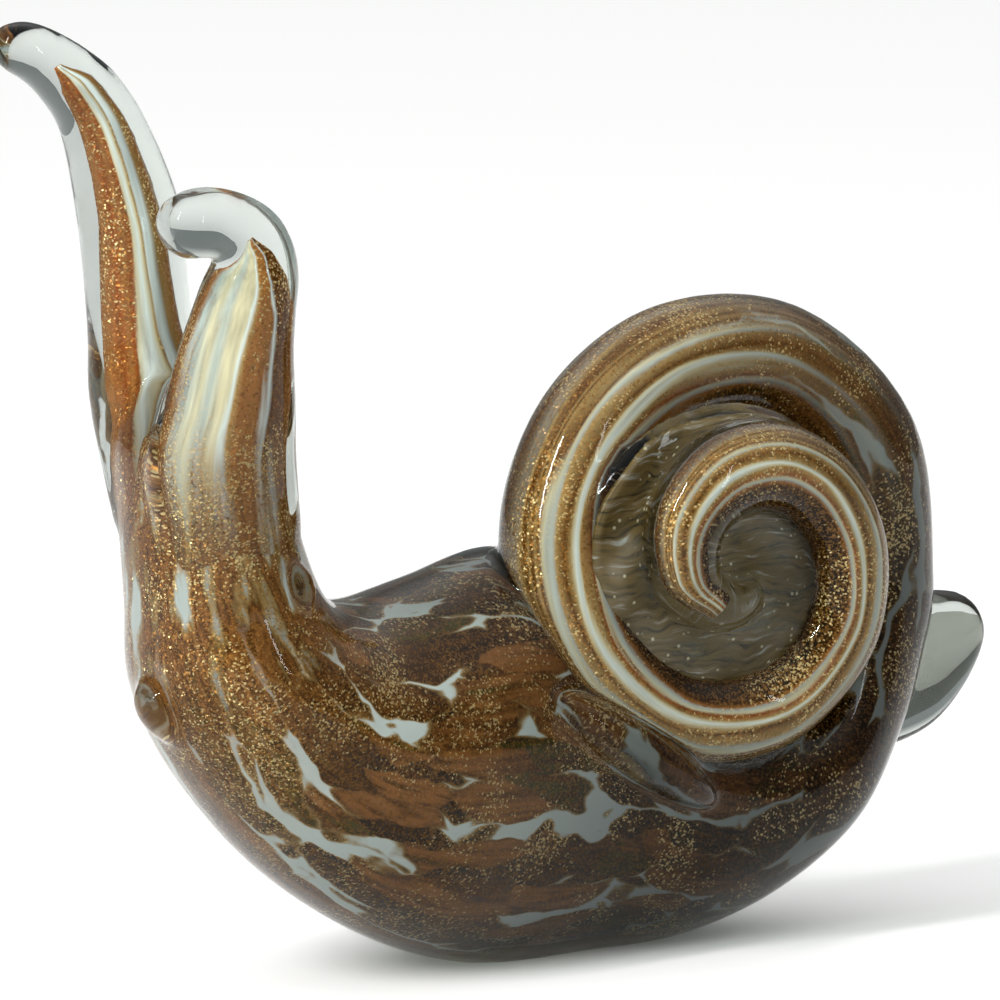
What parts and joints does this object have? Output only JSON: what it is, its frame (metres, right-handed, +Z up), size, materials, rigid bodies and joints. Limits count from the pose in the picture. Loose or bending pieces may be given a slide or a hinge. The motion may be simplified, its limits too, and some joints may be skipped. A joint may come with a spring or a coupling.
{
  "type": "glass snail figurine",
  "caption": "Hand-worked glass snail with a rocker-shaped body, two raised horns and a coiled shell, its copper-flecked colour cased in clear glass.",
  "frame": {"origin": "middle of the footprint, on the surface that the ground flat rests on", "axes": "+Z up, -X the way the snail faces, -Y the side on which the shell coil stands out"},
  "size_m": [0.1392, 0.0436, 0.1221],
  "materials": {
    "clear_glass": "gloss",
    "copper_fleck_glass": "gloss",
    "opal_white_glass": "gloss"
  },
  "bodies": {
    "root": {"body_clear_casing": "clear_glass", "body_colour_layer": "copper_fleck_glass", "body_white_core": "opal_white_glass", "shell_clear_casing": "clear_glass", "shell_colour_layer": "copper_fleck_glass", "shell_white_core": "opal_white_glass", "far_horn_clear_casing": "clear_glass", "far_horn_colour_layer": "copper_fleck_glass", "far_horn_white_core": "opal_white_glass", "near_horn_clear_casing": "clear_glass", "near_horn_colour_layer": "copper_fleck_glass", "near_horn_white_core": "opal_white_glass", "shell_tip": "clear_glass", "shell_web": "clear_glass", "shell_seat": "clear_glass", "tail_tip": "clear_glass", "snout_bit": "clear_glass", "neck_prunt": "clear_glass"}
  },
  "joints": []
}
